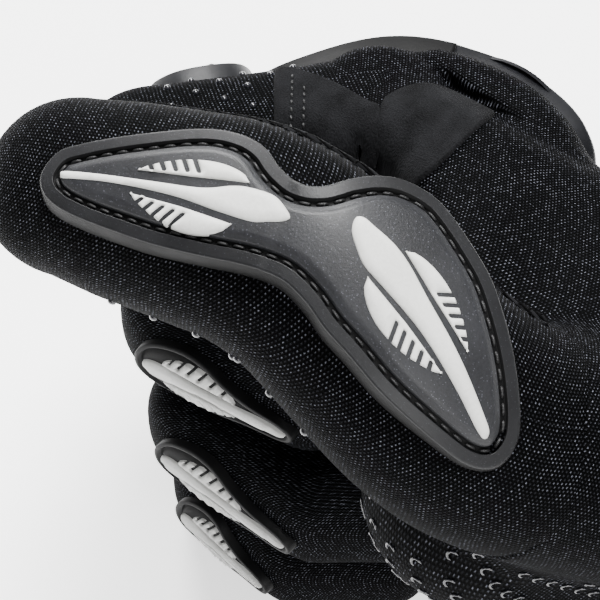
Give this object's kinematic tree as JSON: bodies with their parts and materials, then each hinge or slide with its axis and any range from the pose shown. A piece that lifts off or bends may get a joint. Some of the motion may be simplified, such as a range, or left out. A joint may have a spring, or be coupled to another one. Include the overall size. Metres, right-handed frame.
{
  "type": "motorcycle riding glove",
  "caption": "Right-hand full-finger riding glove in a loose fist: mesh and suede panels, moulded knuckle, finger and thumb guards, jointed fingers and thumb, strap cuff.",
  "frame": {"origin": "centre of the bounding box's bottom face; the glove stands on its little-finger side in a loose fist", "axes": "+X from the cuff to the knuckles, +Y towards the palm side, +Z towards the thumb side"},
  "size_m": [0.1746, 0.092, 0.1211],
  "materials": {
    "mesh_fabric": "knitted mesh",
    "stretch_fabric": "ribbed stretch knit",
    "suede": "brushed microfibre",
    "foam": "closed-cell foam",
    "rubber_guard": "fine speckled grain",
    "light_insert": "satin",
    "gloss_guard": "semi-gloss",
    "binding_tape": "woven tape",
    "hook_and_loop": "hook and loop pile",
    "strap_rubber": "moulded satin",
    "palm_fabric": "tight weave with grip print"
  },
  "bodies": {
    "index_proximal_section": {"index_proximal_sleeve": "mesh_fabric", "index_pip_stretch": "stretch_fabric", "index_proximal_guard": "rubber_guard"},
    "index_middle_section": {"index_middle_sleeve": "mesh_fabric", "index_dip_stretch": "stretch_fabric", "index_middle_guard": "rubber_guard", "index_guard_inserts": "light_insert"},
    "index_distal_section": {"index_distal_sleeve": "mesh_fabric"},
    "middle_proximal_section": {"middle_proximal_sleeve": "mesh_fabric", "middle_pip_stretch": "stretch_fabric", "middle_proximal_guard": "rubber_guard"},
    "middle_middle_section": {"middle_middle_sleeve": "mesh_fabric", "middle_dip_stretch": "stretch_fabric", "middle_middle_guard": "rubber_guard", "middle_guard_inserts": "light_insert"},
    "middle_distal_section": {"middle_distal_sleeve": "mesh_fabric"},
    "ring_proximal_section": {"ring_proximal_sleeve": "mesh_fabric", "ring_pip_stretch": "stretch_fabric", "ring_proximal_guard": "rubber_guard"},
    "ring_middle_section": {"ring_middle_sleeve": "mesh_fabric", "ring_dip_stretch": "stretch_fabric", "ring_middle_guard": "rubber_guard", "ring_guard_inserts": "light_insert"},
    "ring_distal_section": {"ring_distal_sleeve": "mesh_fabric"},
    "little_proximal_section": {"little_proximal_sleeve": "mesh_fabric", "little_pip_stretch": "stretch_fabric", "little_proximal_guard": "rubber_guard"},
    "little_middle_section": {"little_middle_sleeve": "mesh_fabric", "little_dip_stretch": "stretch_fabric", "little_middle_guard": "rubber_guard", "little_guard_inserts": "light_insert"},
    "little_distal_section": {"little_distal_sleeve": "mesh_fabric"},
    "hand": {"thumb_base_sleeve": "mesh_fabric", "thumb_knuckle_stretch": "stretch_fabric", "back_panel": "mesh_fabric", "palm_panel": "palm_fabric", "ulnar_side_panel": "mesh_fabric", "radial_side_panel": "mesh_fabric", "thumb_web_panel": "suede", "knuckle_stretch_panels": "stretch_fabric", "knuckle_guard": "gloss_guard", "knuckle_foam_pad": "foam", "knuckle_guard_caps": "gloss_guard", "palm_heel_pad": "suede", "palm_thenar_pad": "suede", "cuff_back": "mesh_fabric", "cuff_palm": "mesh_fabric", "cuff_binding": "binding_tape", "strap_anchor": "strap_rubber", "cuff_loop_patch": "hook_and_loop"},
    "thumb_middle": {"thumb_proximal_sleeve": "mesh_fabric", "thumb_joint_stretch": "stretch_fabric", "thumb_guard_base_lobe": "rubber_guard", "thumb_base_inserts": "light_insert"},
    "thumb_tip": {"thumb_distal_sleeve": "mesh_fabric", "thumb_guard_tip_lobe": "rubber_guard", "thumb_tip_inserts": "light_insert"},
    "strap": {"wrist_strap": "strap_rubber", "strap_hook_patch": "hook_and_loop", "strap_pull_tab": "strap_rubber"}
  },
  "joints": [
    {"name": "index_mcp", "type": "hinge", "parent": "hand", "child": "index_proximal_section", "pos_m": [0.05621, -0.01981, 0.0732], "axis": [0, 0, 1], "range_deg": [-56, 0], "deforming": ["knuckle_stretch_panels"]},
    {"name": "index_pip", "type": "hinge", "parent": "index_proximal_section", "child": "index_middle_section", "pos_m": [0.0769, 0.01087, 0.0732], "axis": [0, 0, 1], "range_deg": [-112, 0], "deforming": ["index_pip_stretch"]},
    {"name": "index_dip", "type": "hinge", "parent": "index_middle_section", "child": "index_distal_section", "pos_m": [0.05441, 0.01565, 0.0732], "axis": [0, 0, 1], "range_deg": [-34.01, 0], "deforming": ["index_dip_stretch"]},
    {"name": "middle_mcp", "type": "hinge", "parent": "hand", "child": "middle_proximal_section", "pos_m": [0.05521, -0.02231, 0.0522], "axis": [0, 0, 1], "range_deg": [-78, 0], "deforming": ["knuckle_stretch_panels"]},
    {"name": "middle_pip", "type": "hinge", "parent": "middle_proximal_section", "child": "middle_middle_section", "pos_m": [0.06342, 0.01633, 0.0522], "axis": [0, 0, 1], "range_deg": [-114, 0], "deforming": ["middle_pip_stretch"]},
    {"name": "middle_dip", "type": "hinge", "parent": "middle_middle_section", "child": "middle_distal_section", "pos_m": [0.03897, 0.01113, 0.0522], "axis": [0, 0, 1], "range_deg": [-38.01, 0], "deforming": ["middle_dip_stretch"]},
    {"name": "ring_mcp", "type": "hinge", "parent": "hand", "child": "ring_proximal_section", "pos_m": [0.05421, -0.02181, 0.0312], "axis": [0, 0, 1], "range_deg": [-85, 0], "deforming": ["knuckle_stretch_panels"]},
    {"name": "ring_pip", "type": "hinge", "parent": "ring_proximal_section", "child": "ring_middle_section", "pos_m": [0.0577, 0.01804, 0.0312], "axis": [0, 0, 1], "range_deg": [-99, 0], "deforming": ["ring_pip_stretch"]},
    {"name": "ring_dip", "type": "hinge", "parent": "ring_middle_section", "child": "ring_distal_section", "pos_m": [0.03276, 0.0163, 0.0312], "axis": [0, 0, 1], "range_deg": [-38.01, 0], "deforming": ["ring_dip_stretch"]},
    {"name": "little_mcp", "type": "hinge", "parent": "hand", "child": "little_proximal_section", "pos_m": [0.04871, -0.01731, 0.0102], "axis": [0, 0, 1], "range_deg": [-77, 0], "deforming": ["knuckle_stretch_panels"]},
    {"name": "little_pip", "type": "hinge", "parent": "little_proximal_section", "child": "little_middle_section", "pos_m": [0.05636, 0.01582, 0.0102], "axis": [0, 0, 1], "range_deg": [-102, 0], "deforming": ["little_pip_stretch"]},
    {"name": "little_dip", "type": "hinge", "parent": "little_middle_section", "child": "little_distal_section", "pos_m": [0.03736, 0.01615, 0.0102], "axis": [0, 0, 1], "range_deg": [-44.01, 0], "deforming": ["little_dip_stretch"]},
    {"name": "thumb_mcp", "type": "hinge", "parent": "hand", "child": "thumb_middle", "pos_m": [0.00321, 0.02269, 0.0892], "axis": [-0.2741, 0.9017, -0.3344], "range_deg": [-25, 3], "deforming": ["thumb_knuckle_stretch"]},
    {"name": "thumb_ip", "type": "hinge", "parent": "thumb_middle", "child": "thumb_tip", "pos_m": [0.03171, 0.02619, 0.1052], "axis": [-0.1565, 0.939, -0.3062], "range_deg": [-30, 3], "deforming": ["thumb_joint_stretch"]},
    {"name": "strap_open", "type": "hinge", "parent": "hand", "child": "strap", "pos_m": [-0.05679, -0.04364, 0.0212], "axis": [1, 0, 0], "range_deg": [0, 120]}
  ],
  "couplings": [
    {"joint": "index_dip", "follows": "index_pip", "ratio": 0.30357},
    {"joint": "middle_dip", "follows": "middle_pip", "ratio": 0.33333},
    {"joint": "ring_dip", "follows": "ring_pip", "ratio": 0.38384},
    {"joint": "little_dip", "follows": "little_pip", "ratio": 0.43137}
  ]
}
